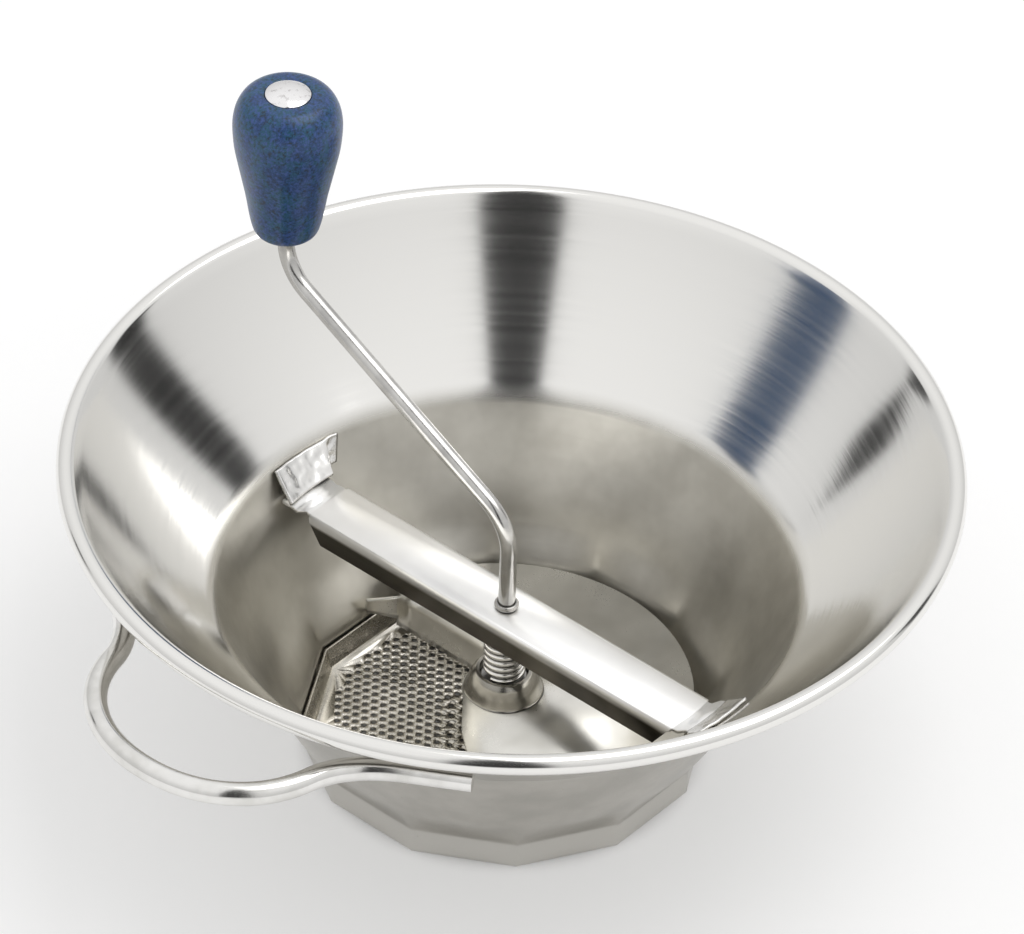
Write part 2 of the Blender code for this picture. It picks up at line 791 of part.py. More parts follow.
def blade_outline():
    """Plan of the plate: its outer arc, then its edge round the hub to the leading edge."""
    lead = Vector((math.cos(LEAD_TURN), math.sin(LEAD_TURN)))
    normal = Vector((lead.y, -lead.x))
    outer_run = math.sqrt(BLADE_RADIUS ** 2 - LEAD_OFFSET ** 2)
    outer = normal * LEAD_OFFSET + lead * outer_run
    inner = normal * LEAD_OFFSET + lead * LEAD_INNER_RUN
    first = math.atan2(outer.y, outer.x)
    last = 3 * math.pi / 2 - math.asin(TRAIL_OFFSET / BLADE_RADIUS)
    rim = arc_points(BLADE_RADIUS, first, last, BLADE_ARC_STEPS)
    eye = arc_points(BLADE_EYE_RADIUS, EYE_FIRST_TURN, EYE_LAST_TURN, BLADE_EYE_STEPS)
    return rim, eye + [tuple(inner)]


def arc_points(radius, first, last, steps):
    """Points of an arc in plan."""
    angles = [first + (last - first) * step / steps for step in range(steps + 1)]
    return [(radius * math.cos(angle), radius * math.sin(angle)) for angle in angles]


def wall_reaches():
    """Distances from the axis of the inner and outer ends of the blade's wall."""
    flat_middle = (FOOT_CORNER_RADIUS - RUN_GAP - SIEVE_SHEET - SIEVE_RIM_LEAN) * math.cos(SECTOR / 2)
    outer = math.sqrt((flat_middle - WALL_EDGE_GAP) ** 2 - TRAIL_OFFSET ** 2)
    return WALL_INNER_REACH, outer


def build_blade(parent):
    """Flat sector plate, its trailing edge folded down to a wall that ends in a turned flap."""
    rim, eye = blade_outline()
    inner, outer = wall_reaches()
    plate = rim + [(-TRAIL_OFFSET, -outer), (-TRAIL_OFFSET, -inner)] + eye
    points = [(x, y, BLADE_TOP) for x, y in plate]
    faces = [tuple(range(len(plate)))]
    edge = (len(rim) + 1, len(rim))
    for x, height in wall_section():
        first = len(points)
        points.extend([(x, -inner, height), (x, -outer, height)])
        faces.append((edge[0], edge[1], first + 1, first))
        edge = (first, first + 1)
    points[edge[0]] = (x, WALL_FOOT_RUN - inner, height)
    flap_low = edge[1] - 2
    points.extend(flap_ends(points[flap_low - 2], points[flap_low]))
    faces.append((flap_low - 2, len(points) - 2, len(points) - 1, flap_low))
    piece = sheet_from_faces("blade", points, faces, BLADE_SHEET, steel("blade_steel"), parent)
    cut(piece, shaft_cutter("blade_hole", BORE_RADIUS, 4 * BLADE_SHEET, BLADE_TOP, parent))


def wall_section():
    """Points (x, height) of the wall's outer face below the plate."""
    section = []
    for step in range(1, BLADE_BEND_STEPS + 1):
        angle = step * math.pi / 2 / BLADE_BEND_STEPS
        x = -TRAIL_OFFSET + BLADE_BEND * math.sin(angle)
        section.append((x, BLADE_TOP - BLADE_BEND * (1 - math.cos(angle))))
    section.append((-TRAIL_OFFSET + BLADE_BEND, BLADE_TOP - FLAP_DROP))
    section.append((-TRAIL_OFFSET + BLADE_BEND, BLADE_TOP - BLADE_WALL_HEIGHT))
    return section


def flap_ends(top, low):
    """Free corners of the flap that the wall's outer end is turned into."""
    x = top[0] + FLAP_LENGTH * math.sin(FLAP_TURN)
    y = top[1] - FLAP_LENGTH * math.cos(FLAP_TURN)
    return [(x, y, top[2]), (x, y, low[2] + FLAP_DROP - FLAP_END_DROP)]


def build_fasteners(parent):
    """Washer and nut that hold the blade and hub on the rod's lower end."""
    washer_top = END_WASHER_BASE + END_WASHER_THICKNESS
    washer = ring_outline(BORE_RADIUS, END_WASHER_RADIUS, END_WASHER_BASE, washer_top)
    turned("end_washer", washer, SMALL_STEPS, plated("end_washer_steel"), parent)
    middle = END_NUT_BASE + END_NUT_HEIGHT / 2
    nut = rod_mesh("end_nut", END_NUT_RADIUS, END_NUT_SIDES, END_NUT_HEIGHT, middle)
    piece = add_piece("end_nut", nut, plated("end_nut_steel"), parent)
    cut(piece, shaft_cutter("nut_hole", BORE_RADIUS, 2 * END_NUT_HEIGHT, middle, parent))


# Knob


def knob_outline():
    """Section of the knob: its outer side down, then its base pocket, bore and cap seat."""
    outline = [(KNOB_RADIUS * r, KNOB_LENGTH * h) for r, h in KNOB_SHARES]
    seat_radius = KNOB_CAP_RADIUS + FIT_GAP
    outline[0] = (seat_radius + FIT_GAP, KNOB_LENGTH)
    base_pocket = STOP_RING_RADIUS + RUN_GAP
    seat = KNOB_LENGTH - KNOB_CAP_SEAT
    outline.extend([
        (base_pocket, 0),
        (base_pocket, KNOB_BASE_POCKET),
        (BORE_RADIUS, KNOB_BASE_POCKET),
        (BORE_RADIUS, seat - KNOB_POCKET_DEPTH),
        (KNOB_POCKET_RADIUS, seat - KNOB_POCKET_DEPTH),
        (KNOB_POCKET_RADIUS, seat),
        (seat_radius, seat),
        (seat_radius, KNOB_LENGTH),
    ])
    return outline


def cap_outline():
    """Section of the domed cap, from its crown out and down, and back under."""
    rise = KNOB_CAP_SEAT - FIT_GAP + KNOB_CAP_RISE
    skirt = rise - KNOB_CAP_RISE
    crown = [(KNOB_CAP_RADIUS * r, skirt + KNOB_CAP_RISE * h) for r, h in CAP_SHARES]
    inner = [((KNOB_CAP_RADIUS - KNOB_CAP_SHEET) * r, skirt - KNOB_CAP_SHEET + KNOB_CAP_RISE * h)
             for r, h in reversed(CAP_SHARES)]
    return crown + [(KNOB_CAP_RADIUS, 0), (KNOB_CAP_RADIUS - KNOB_CAP_SHEET, 0)] + inner


def build_knob(axis):
    """Turned knob that spins on the rod's upright end, with its cap."""
    paint = new_material("knob_paint", (0.05, 0.22, 0.33), 0.0, 0.25)
    knob = turned("knob", knob_outline(), ROUND_STEPS, paint, axis)
    knob.location = (0, 0, KNOB_BASE)
    bright = new_material("knob_cap_chrome", (0.8, 0.8, 0.8), 1.0, 0.1)
    cap = turned("knob_cap", cap_outline(), ROUND_STEPS, bright, axis, ring=False)
    cap.location = (0, 0, CAP_BASE)


def build_knob_stops(axis):
    """Ring under the knob and push nut over it, both fixed on the rod."""
    base = KNOB_BASE + FIT_GAP
    ring = ring_outline(BORE_RADIUS, STOP_RING_RADIUS, base, base + STOP_RING_HEIGHT)
    turned("stop_ring", ring, SMALL_STEPS, plated("stop_ring_steel"), axis)
    base = POCKET_BASE + FIT_GAP
    radius = KNOB_POCKET_RADIUS - RUN_GAP
    nut = ring_outline(BORE_RADIUS, radius, base, base + PUSH_NUT_HEIGHT)
    turned("push_nut", nut, SMALL_STEPS, plated("push_nut_steel"), axis)


# Assembly

clear_scene()
mill = new_collection("food_mill")
cutters = new_collection("cutters")
bowl_axis = new_empty("bowl_axis", None, (BOWL_AXIS_X, 0, 0))
crank_axis = new_empty("crank_axis", bowl_axis, (0, 0, 0))
knob_axis = new_empty("knob_axis", crank_axis, KNOB_AXIS)

build_bowl(bowl_axis)
build_rim_wire(bowl_axis)
build_side_handle(bowl_axis)
build_lug("lug_right", 1, bowl_axis)
build_lug("lug_left", -1, bowl_axis)
build_sieve(bowl_axis)
build_crossbar(bowl_axis)
build_bush(bowl_axis)
build_washer("upper_washer", UPPER_WASHER_BASE, bowl_axis)
build_spring(bowl_axis)
build_washer("lower_washer", LOWER_WASHER_BASE, bowl_axis)
build_crank_rod(crank_axis)
build_collar(crank_axis)
build_hub(crank_axis)
build_blade(crank_axis)
build_fasteners(crank_axis)
build_knob_stops(knob_axis)
build_knob(knob_axis)
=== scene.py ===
import math

import bmesh
import bpy
from mathutils import Matrix, Vector, geometry, kdtree, noise


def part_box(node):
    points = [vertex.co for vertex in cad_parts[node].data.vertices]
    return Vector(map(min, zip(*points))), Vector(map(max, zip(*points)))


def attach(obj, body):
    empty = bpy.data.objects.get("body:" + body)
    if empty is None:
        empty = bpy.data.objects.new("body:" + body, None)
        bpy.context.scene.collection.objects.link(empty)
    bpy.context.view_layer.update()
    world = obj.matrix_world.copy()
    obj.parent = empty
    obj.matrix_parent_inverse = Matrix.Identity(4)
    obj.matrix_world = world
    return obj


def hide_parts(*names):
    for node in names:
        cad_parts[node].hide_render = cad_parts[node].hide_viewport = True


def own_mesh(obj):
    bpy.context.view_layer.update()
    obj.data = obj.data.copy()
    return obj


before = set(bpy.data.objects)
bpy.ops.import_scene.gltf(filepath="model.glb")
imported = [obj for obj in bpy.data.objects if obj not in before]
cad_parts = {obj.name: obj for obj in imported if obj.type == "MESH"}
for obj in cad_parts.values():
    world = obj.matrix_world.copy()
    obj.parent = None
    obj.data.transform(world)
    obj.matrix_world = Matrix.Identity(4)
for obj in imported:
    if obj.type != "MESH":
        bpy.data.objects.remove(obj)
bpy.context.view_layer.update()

# Camera
# A long lens looks down into the bowl from the handle's left, with the frame turned a little.

BOWL_LOW, BOWL_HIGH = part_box("bowl_shell")
AXIS = Vector(((BOWL_LOW[0] + BOWL_HIGH[0]) / 2, 0, 0))
VIEW_TURN = math.radians(39.5)
VIEW_RISE = math.radians(39.7)
VIEW_DISTANCE = 2.771
VIEW_ROLL = math.radians(2.25)
AIM_HEIGHT = 0.1202
LENS = 286.5


def place_camera():
    """Camera on the photograph's line of sight."""
    level = math.cos(VIEW_RISE)
    toward = Vector((level * math.cos(VIEW_TURN), level * math.sin(VIEW_TURN), math.sin(VIEW_RISE)))
    right = toward.cross(Vector((0, 0, -1))).normalized()
    up = toward.cross(right)
    side = right * math.cos(VIEW_ROLL) + up * math.sin(VIEW_ROLL)
    top = up * math.cos(VIEW_ROLL) - right * math.sin(VIEW_ROLL)
    lens = bpy.data.cameras.new("camera")
    lens.sensor_width = 36
    lens.lens = LENS
    lens.clip_end = 20
    camera = bpy.data.objects.new("camera", lens)
    bpy.context.scene.collection.objects.link(camera)
    turn = Matrix((side, top, toward)).transposed().to_4x4()
    place = AXIS + Vector((0, 0, AIM_HEIGHT)) + toward * VIEW_DISTANCE
    camera.matrix_world = Matrix.Translation(place) @ turn
    bpy.context.scene.camera = camera


place_camera()
bpy.context.scene.view_settings.view_transform = "Standard"


# Finishes
# Every surface is written as sums of sockets, with its pattern placed from the bowl's axis.


class Tone:
    """One value, colour or vector of a finish, used in sums as a number is."""

    def __init__(self, tree, socket):
        self.tree = tree
        self.socket = socket

    def node(self, kind, settings=None, sockets=None, output=0):
        """Any other node: its settings first, then the values or links of its sockets."""
        made = self.tree.nodes.new(kind)
        for name, value in (settings or {}).items():
            setattr(made, name, value)
        for name, value in (sockets or {}).items():
            feed(self.tree, made.inputs[name], value)
        return Tone(self.tree, made.outputs[output])

    def maths(self, operation, *others):
        """A Math node on this value."""
        sockets = {index: value for index, value in enumerate((self, *others))}
        return self.node("ShaderNodeMath", {"operation": operation}, sockets)

    def __add__(self, other):
        return self.maths("ADD", other)

    def __sub__(self, other):
        return self.maths("SUBTRACT", other)

    def __mul__(self, other):
        return self.maths("MULTIPLY", other)

    def __rsub__(self, other):
        return self.maths("MULTIPLY", -1.0).maths("ADD", other)

    __radd__ = __add__
    __rmul__ = __mul__

    def ramp(self, low, high):
        """Zero below low, one above high, and a soft step between."""
        limits = {"Value": self, "From Min": low, "From Max": high}
        return self.node("ShaderNodeMapRange", {"interpolation_type": "SMOOTHSTEP"}, limits)

    def band(self, low, high, soft):
        """One between low and high, with soft edges."""
        return self.ramp(low - soft, low + soft) * (1 - self.ramp(high - soft, high + soft))

    def blend(self, first, second):
        """A colour between two, by this value."""
        sockets = {0: self, 6: colour(first), 7: colour(second)}
        return self.node("ShaderNodeMix", {"data_type": "RGBA"}, sockets, 2)

    def join(self, second, third):
        """A vector of three values."""
        return self.node("ShaderNodeCombineXYZ", None, {0: self, 1: second, 2: third})

    def specks(self, size, detail=2.0, rough=0.5):
        """Soft random mottle, from zero to one, on this vector."""
        sockets = {"Vector": self, "Scale": size, "Detail": detail, "Roughness": rough}
        return self.node("ShaderNodeTexNoise", None, sockets)


def colour(value):
    """A colour socket's value from three numbers, or a link as it is."""
    return value if isinstance(value, Tone) else (*value, 1.0)


def feed(tree, socket, value):
    """A link or a plain value on a socket."""
    if isinstance(value, Tone):
        tree.links.new(value.socket, socket)
    else:
        socket.default_value = value


class Finish:
    """A new material with the coordinates that its pattern is drawn on."""

    def __init__(self, name, centre=AXIS):
        self.material = bpy.data.materials.new(name)
        self.material.use_nodes = True
        self.tree = self.material.node_tree
        self.shader = self.tree.nodes["Principled BSDF"]
        start = Tone(self.tree, self.tree.nodes.new("ShaderNodeTexCoord").outputs["Object"])
        moved = {"Location": tuple(-centre)}
        self.place = start.node("ShaderNodeMapping", None, {"Vector": start, **moved})
        split = self.tree.nodes.new("ShaderNodeSeparateXYZ")
        feed(self.tree, split.inputs[0], self.place)
        self.x, self.y, self.z = (Tone(self.tree, split.outputs[index]) for index in range(3))
        self.turn = self.y.maths("ARCTAN2", self.x)
        self.reach = (self.x * self.x + self.y * self.y).maths("SQRT")

    def set(self, **sockets):
        """Sockets of the shader, named with underscores for spaces."""
        for name, value in sockets.items():
            feed(self.tree, self.shader.inputs[name.replace("_", " ")], value)

    def bump(self, height, distance, strength=1.0):
        """A Bump node on the shader's Normal."""
        sockets = {"Height": height, "Distance": distance, "Strength": strength}
        self.set(Normal=self.z.node("ShaderNodeBump", None, sockets))


# Bowl
# One disc of stainless sheet, spun into a flare over a steep cone, with its rim curled round a
# wire. The foot is pressed to twelve sides, which fade into the cone above them.

SHEET = 0.001
CURL = 0.0035
RIM = (BOWL_HIGH[0] - BOWL_LOW[0]) / 2
RIM_TOP = BOWL_HIGH[2]
FOOT = 0.0703
FOOT_TOP = 0.0112
CREASE = (0.1013, 0.0694)
CORNER_TURN = math.radians(15)
SIDE_TURN = math.radians(30)
FOOT_FADE = 0.019
FLARE_BELLY = math.radians(9.7)
FLARE_PULL = 0.478
CURL_TURN = math.radians(300)


def wall_reach(height):
    """Inside radius of the cone at a height."""
    return FOOT + (height - FOOT_TOP) * (CREASE[0] - FOOT) / (CREASE[1] - FOOT_TOP)


def flare_line():
    """The flare's two ends, its pull point and its slope at the rim."""
    start = Vector(CREASE)
    bead = Vector((RIM - CURL, RIM_TOP - CURL))
    slope = math.atan2(bead.y - start.y, bead.x - start.x) + FLARE_BELLY
    along = Vector((math.cos(slope), math.sin(slope)))
    end = bead + Vector((-along.y, along.x)) * CURL
    return start, end - along * (end - start).length * FLARE_PULL, end, bead, slope


def flare_place(share):
    """A point on the inside line of the flare."""
    start, pull, end, _, _ = flare_line()
    return start.lerp(pull, share).lerp(pull.lerp(end, share), share)


def bowl_line():
    """Inside line of the bowl, from the flange under the sieve to the end of the curl."""
    bend = 0.0015
    line = [(FOOT - 0.0075, SHEET), (FOOT - 0.004, SHEET)]
    for step in range(6):
        angle = math.pi / 2 * step / 5
        line.append((FOOT - bend + bend * math.sin(angle), SHEET + bend - bend * math.cos(angle)))
    line.extend([(FOOT, 0.005), (FOOT, 0.008), (FOOT, 0.0102), (FOOT + 0.00015, FOOT_TOP)])
    for step in range(1, 30):
        height = FOOT_TOP + (CREASE[1] - 0.0012 - FOOT_TOP) * step / 29
        line.append((wall_reach(height), height))
    for share in [0.02] + [0.055 * step for step in range(1, 18)] + [1.0]:
        line.append(tuple(flare_place(share)))
    _, _, _, bead, slope = flare_line()
    for step in range(1, 17):
        angle = slope + math.pi / 2 - CURL_TURN * step / 16
        line.append((bead.x + CURL * math.cos(angle), bead.y + CURL * math.sin(angle)))
    return line


def spun(line, steps, ring=False):
    """A bmesh spun round the upright axis from points (radius, height)."""
    shape = bmesh.new()
    points = [shape.verts.new((radius, 0, height)) for radius, height in line]
    pairs = list(zip(points, points[1:])) + ([(points[-1], points[0])] if ring else [])
    edges = [shape.edges.new(pair) for pair in pairs]
    bmesh.ops.spin(
        shape, geom=points + edges, cent=(0, 0, 0), axis=(0, 0, 1), angle=2 * math.pi,
        steps=steps, use_merge=True, use_duplicate=False,
    )
    bmesh.ops.remove_doubles(shape, verts=shape.verts, dist=0.000002)
    bmesh.ops.recalc_face_normals(shape, faces=shape.faces)
    return shape


def press_sides(shape):
    """Presses the foot to twelve sides that fade into the cone."""
    for point in shape.verts:
        fade = min(max((point.co.z - FOOT_TOP) / FOOT_FADE, 0), 1)
        share = 1 - fade * fade * (3 - 2 * fade)
        angle = math.atan2(point.co.y, point.co.x)
        from_middle = (angle - CORNER_TURN) % SIDE_TURN - SIDE_TURN / 2
        flat = math.cos(SIDE_TURN / 2) / math.cos(from_middle)
        stretch = 1 + share * (flat - 1)
        point.co.x *= stretch
        point.co.y *= stretch


def add_piece(name, shape, body, finish, stands_for, sharp=32, centre=AXIS):
    """A bmesh as a finished piece on its CAD body."""
    bmesh.ops.translate(shape, verts=shape.verts, vec=centre)
    mesh = bpy.data.meshes.new(name)
    shape.to_mesh(mesh)
    shape.free()
    return add_mesh(name, mesh, body, finish, stands_for, sharp)


def add_mesh(name, mesh, body, finish, stands_for, sharp=32):
    """A mesh that is already in place as a finished piece on its CAD body."""
    mesh.shade_smooth()
    mesh.set_sharp_from_angle(angle=math.radians(sharp))
    mesh.materials.clear()
    mesh.materials.append(finish.material)
    piece = bpy.data.objects.new(name, mesh)
    bpy.context.scene.collection.objects.link(piece)
    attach(piece, body)
    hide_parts(*stands_for)
    return piece


def add_sheet(piece, thickness, even=True):
    """Gives an open surface its thickness, behind its face."""
    wall = piece.modifiers.new("sheet", "SOLIDIFY")
    wall.thickness = thickness
    wall.offset = -1
    wall.use_even_offset = even


def spun_steel():
    """Polished sheet with the fine rings that spinning leaves."""
    finish = Finish("spun_steel")
    rings = (finish.turn * 0.35).join(finish.z * 420, finish.reach * 420).specks(1.0, 3.0, 0.6)
    dull = 1 - finish.z.ramp(0.066, 0.073)
    clouds = finish.place.specks(40.0, 3.0, 0.6)
    satin = clouds.ramp(0.3, 0.7).blend((0.66, 0.64, 0.585), (0.54, 0.52, 0.47))
    finish.set(Base_Color=dull.blend((0.82, 0.81, 0.785), satin), Metallic=1.0,
               Roughness=rings * 0.1 + dull * 0.2 + 0.08)
    finish.bump(rings, 0.00004, 0.6)
    return finish


def outside_steel():
    """The bowl's outer side, duller than its inside."""
    finish = Finish("outside_steel")
    clouds = finish.place.specks(35.0, 3.0, 0.6)
    grain = finish.place.specks(900.0, 3.0, 0.6)
    foot = 1 - finish.z.ramp(0.0105, 0.0125)
    tone = clouds.ramp(0.3, 0.7).blend((0.5, 0.48, 0.44), (0.4, 0.385, 0.35))
    finish.set(Base_Color=foot.blend(tone, (0.58, 0.565, 0.53)), Metallic=1.0,
               Roughness=grain * 0.12 + 0.24)
    finish.bump(grain, 0.00003, 0.3)
    return finish


bowl = spun(bowl_line(), 240)
press_sides(bowl)
bowl_face = max(bowl.faces, key=lambda face: face.calc_center_median().z)
if bowl_face.normal.z < 0:
    bmesh.ops.reverse_faces(bowl, faces=bowl.faces)
bowl_piece = add_piece("bowl", bowl, "bowl", spun_steel(), ["bowl_shell"])
add_sheet(bowl_piece, SHEET)
bowl_piece.data.materials.append(outside_steel().material)
bowl_piece.modifiers["sheet"].material_offset = 1


# Rim wire
# A plain steel wire that the rim is curled round. It shows only as a shadow in the curl.


def rubbed_steel(name, shade, scale=700.0, rough=0.3, centre=AXIS):
    """Plain steel with soft stains, fine scratches and worn spots."""
    finish = Finish(name, centre)
    stains = finish.place.specks(scale * 0.12, 3.0, 0.6)
    grain = finish.place.specks(scale, 4.0, 0.7)
    darker = tuple(part * 0.72 for part in shade)
    finish.set(Base_Color=stains.ramp(0.35, 0.7).blend(shade, darker), Metallic=1.0,
               Roughness=grain * 0.22 + (rough - 0.1))
    finish.bump(grain, 0.00004, 0.4)
    return finish


def clad(node, finish):
    """Gives a piece that is carried over from the frame its finish."""
    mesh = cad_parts[node].data
    mesh.materials.clear()
    mesh.materials.append(finish.material)


clad("rim_wire", rubbed_steel("wire_steel", (0.5, 0.49, 0.47)))


# Side handle
# One bent wire of polished steel, welded under the flare by its two straight legs.

WELD_GAP = 0.0003
HANDLE_SEAT = 0.735
LEG_TURN = math.radians(31)
LEG_TAIL = 0.0124
NECK_HALF = 0.0475
SHOULDER_RUN = 0.62
SHOULDER_HALF = 0.0409
GRIP_HALF = 0.0169


def bent(corners, bends, steps):
    """A path through the corners, with each inner corner turned on its bend radius."""
    path = [corners[0]]
    for before, corner, after, bend in zip(corners, corners[1:], corners[2:], bends):
        back = (before - corner).normalized()
        ahead = (after - corner).normalized()
        half_turn = (math.pi - back.angle(ahead)) / 2
        reach = bend * math.tan(half_turn)
        centre = corner + (back + ahead).normalized() * bend / math.cos(half_turn)
        start = (corner + back * reach - centre).normalized()
        end = (corner + ahead * reach - centre).normalized()
        path.extend(centre + start.slerp(end, step / steps) * bend for step in range(steps + 1))
    path.append(corners[-1])
    return path


def eased(points):
    """The same path with its corners cut again and again until it flows."""
    for _ in range(5):
        cut = [points[0]]
        for start, end in zip(points, points[1:]):
            cut.extend([start.lerp(end, 0.25), start.lerp(end, 0.75)])
        points = cut + [points[-1]]
    return points


def drawn(line):
    """The mesh that a curve draws."""
    holder = bpy.data.objects.new(line.name, line)
    bpy.context.scene.collection.objects.link(holder)
    ready = bpy.context.evaluated_depsgraph_get()
    mesh = bpy.data.meshes.new_from_object(holder.evaluated_get(ready))
    bpy.data.objects.remove(holder, do_unlink=True)
    return mesh


def add_wire(name, points, radius, body, finish, stands_for):
    """A round wire through the points, from the bowl's axis."""
    line = bpy.data.curves.new(name, "CURVE")
    line.dimensions = "3D"
    line.bevel_depth = radius
    line.bevel_resolution = 9
    line.use_fill_caps = True
    run = line.splines.new("POLY")
    run.points.add(len(points) - 1)
    for target, point in zip(run.points, points):
        target.co = (*point, 1.0)
    shape = bmesh.new()
    shape.from_mesh(drawn(line))
    bmesh.ops.remove_doubles(shape, verts=shape.verts, dist=0.000005)
    bmesh.ops.recalc_face_normals(shape, faces=shape.faces)
    return add_piece(name, shape, body, finish, stands_for, 40)


def handle_line():
    """Centre line of the handle, from one cut end round to the other."""
    low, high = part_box("side_handle")
    height = (low[2] + high[2]) / 2
    radius = (high[2] - low[2]) / 2
    start, pull, end, _, _ = flare_line()
    along = (start.lerp(pull, HANDLE_SEAT) - pull.lerp(end, HANDLE_SEAT)).normalized()
    stand = SHEET + WELD_GAP + radius
    contact = flare_place(HANDLE_SEAT) + Vector((-along.y, along.x)) * stand
    normal = Vector((math.cos(LEG_TURN), math.sin(LEG_TURN)))
    leg = Vector((-normal.y, normal.x))
    tail = normal * contact.x + leg * LEG_TAIL
    neck = Vector(((contact.x - NECK_HALF * normal.y) / normal.x, NECK_HALF))
    reach = high[0] - AXIS.x - radius
    shoulder = Vector((neck.x + (reach - neck.x) * SHOULDER_RUN, SHOULDER_HALF))
    corners = [tail, neck, shoulder, Vector((reach, GRIP_HALF))]
    left = [Vector((corner.x, corner.y, height)) for corner in corners]
    right = [Vector((corner.x, -corner.y, height)) for corner in reversed(corners)]
    return eased(left + right), radius


def wire_steel():
    """Polished wire with draw lines and a few dull rubs."""
    finish = Finish("handle_steel")
    rubs = finish.place.specks(60.0, 3.0, 0.6)
    grain = finish.place.specks(1400.0, 2.0, 0.5)
    finish.set(Base_Color=rubs.ramp(0.3, 0.75).blend((0.83, 0.82, 0.8), (0.66, 0.65, 0.62)),
               Metallic=1.0, Roughness=rubs.ramp(0.4, 0.8) * 0.14 + grain * 0.08 + 0.08)
    finish.bump(grain, 0.00002, 0.3)
    return finish


handle_path, HANDLE_WIRE = handle_line()
add_wire("side_handle_wire", handle_path, HANDLE_WIRE, "bowl", wire_steel(), ["side_handle"])


# Lugs
# Two pressed tags of sheet, spot welded to the wall. Their welds leave them lumpy.

LUG_SHEET = 0.0012
LUG_SEAT = 0.0018
LUG_PROUD = 0.0048
LUG_CROWN = 0.0099
LUG_SLANT = 0.0045
LUG_RAMP = 0.0022
LUG_TOE = 0.004
LUG_END = 0.0122
LUG_TAPER = 0.00225


def lug_stand(share, across, crown, foot):
    """How far a lug's face stands off the wall at a sideways place."""
    rise = min(max((across - foot) / (crown - foot), 0), 1)
    rise = rise * rise * (3 - 2 * rise)
    return LUG_PROUD * (1 - share) * rise


def lug_face(node, side):
    """Outer face of one lug as a fine grid, lumpy from its welds."""
    low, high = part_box(node)
    bottom = low[2] + 0.0004
    top = high[2]
    lean = math.atan2(CREASE[0] - FOOT, CREASE[1] - FOOT_TOP)
    seat = LUG_SEAT / math.cos(lean)
    rows, columns = 18, 36
    shape = bmesh.new()
    grid = []
    for row in range(rows + 1):
        share = row / rows
        height = bottom + share * (top - bottom)
        crown = -LUG_CROWN - share * LUG_SLANT
        foot = crown - LUG_RAMP
        end = LUG_END - share * LUG_TAPER
        line = []
        for column in range(columns + 1):
            across = foot - LUG_TOE + (end - foot + LUG_TOE) * column / columns
            stand = seat + lug_stand(share, across, crown, foot)
            lump = noise.noise(Vector((across * 260, height * 260, 3.1 * side))) * 0.0007
            lump += noise.noise(Vector((across * 600, height * 600, 7.7 * side))) * 0.0003
            edge = min(row, rows - row, column, columns - column) / 3
            reach = wall_reach(height) - stand - lump * min(edge, 1)
            turn = across / reach - math.pi / 2
            place = (reach * math.cos(turn) * side, reach * math.sin(turn) * side, height)
            line.append(shape.verts.new(place))
        grid.append(line)
    for low_line, high_line in zip(grid, grid[1:]):
        for column in range(columns):
            shape.faces.new((low_line[column], high_line[column],
                             high_line[column + 1], low_line[column + 1]))
    return shape


for lug_node, lug_side in (("lug_left", -1), ("lug_right", 1)):
    lug = add_piece(lug_node + "_tag", lug_face(lug_node, lug_side), "bowl",
                    rubbed_steel(lug_node + "_steel", (0.84, 0.83, 0.81), 420.0, 0.22), [lug_node])
    add_sheet(lug, LUG_SHEET)


# Sieve
# A flat stainless disc, pierced with about a thousand small holes, with its rim turned up to
# twelve sides. It drops into the foot of the bowl and rests on the flange.

SIEVE_SHEET = 0.001
SIEVE_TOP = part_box("sieve")[0][2] + SIEVE_SHEET
SIEVE_BRIM = FOOT - 0.0016
SIEVE_FOLD = SIEVE_BRIM - 0.0022
SIEVE_SIDES = 12
SIEVE_GRAIN = math.radians(39.5)
HOLE = 0.00112
HOLE_SIDES = 12
HOLE_FLAT = 0.966


def hole_centres():
    """Staggered rows of holes, wider apart near the middle."""
    places = []
    for pitch, inner, outer in ((0.0037, 0.0225, 0.0604), (0.0052, 0.0, 0.0212)):
        rise = pitch * math.sin(math.pi / 3)
        rows = int(outer / rise) + 1
        for row in range(-rows, rows + 1):
            shift = pitch / 2 if row % 2 else 0
            for column in range(-rows - 2, rows + 3):
                x = column * pitch + shift
                y = row * rise
                if inner <= math.hypot(x, y) < outer:
                    places.append((x, y))
    return places


def ring_points(radius, count, first=0.0, middle=(0, 0)):
    """Points of a circle in plan."""
    points = []
    for step in range(count):
        angle = first + 2 * math.pi * step / count
        points.append((middle[0] + radius * math.cos(angle), middle[1] + radius * math.sin(angle)))
    return points


def pierced_plate(outline, centres, radius):
    """Points and faces of a flat plate with round holes."""
    loops = [outline] + [ring_points(radius, HOLE_SIDES, 0.3, centre) for centre in centres]
    points = []
    edges = []
    for loop in loops:
        first = len(points)
        points.extend(Vector(point) for point in loop)
        edges.extend((first + step, first + (step + 1) % len(loop)) for step in range(len(loop)))
    flat, _, faces, _, _, _ = geometry.delaunay_2d_cdt(points, edges, [], 0, 0.0000001)
    near = kdtree.KDTree(len(centres))
    for index, centre in enumerate(centres):
        near.insert((*centre, 0), index)
    near.balance()
    solid = []
    for face in faces:
        middle = sum((flat[index] for index in face), Vector((0, 0))) / len(face)
        if near.find((*middle, 0))[2] > radius * HOLE_FLAT:
            solid.append(face)
    return flat, solid


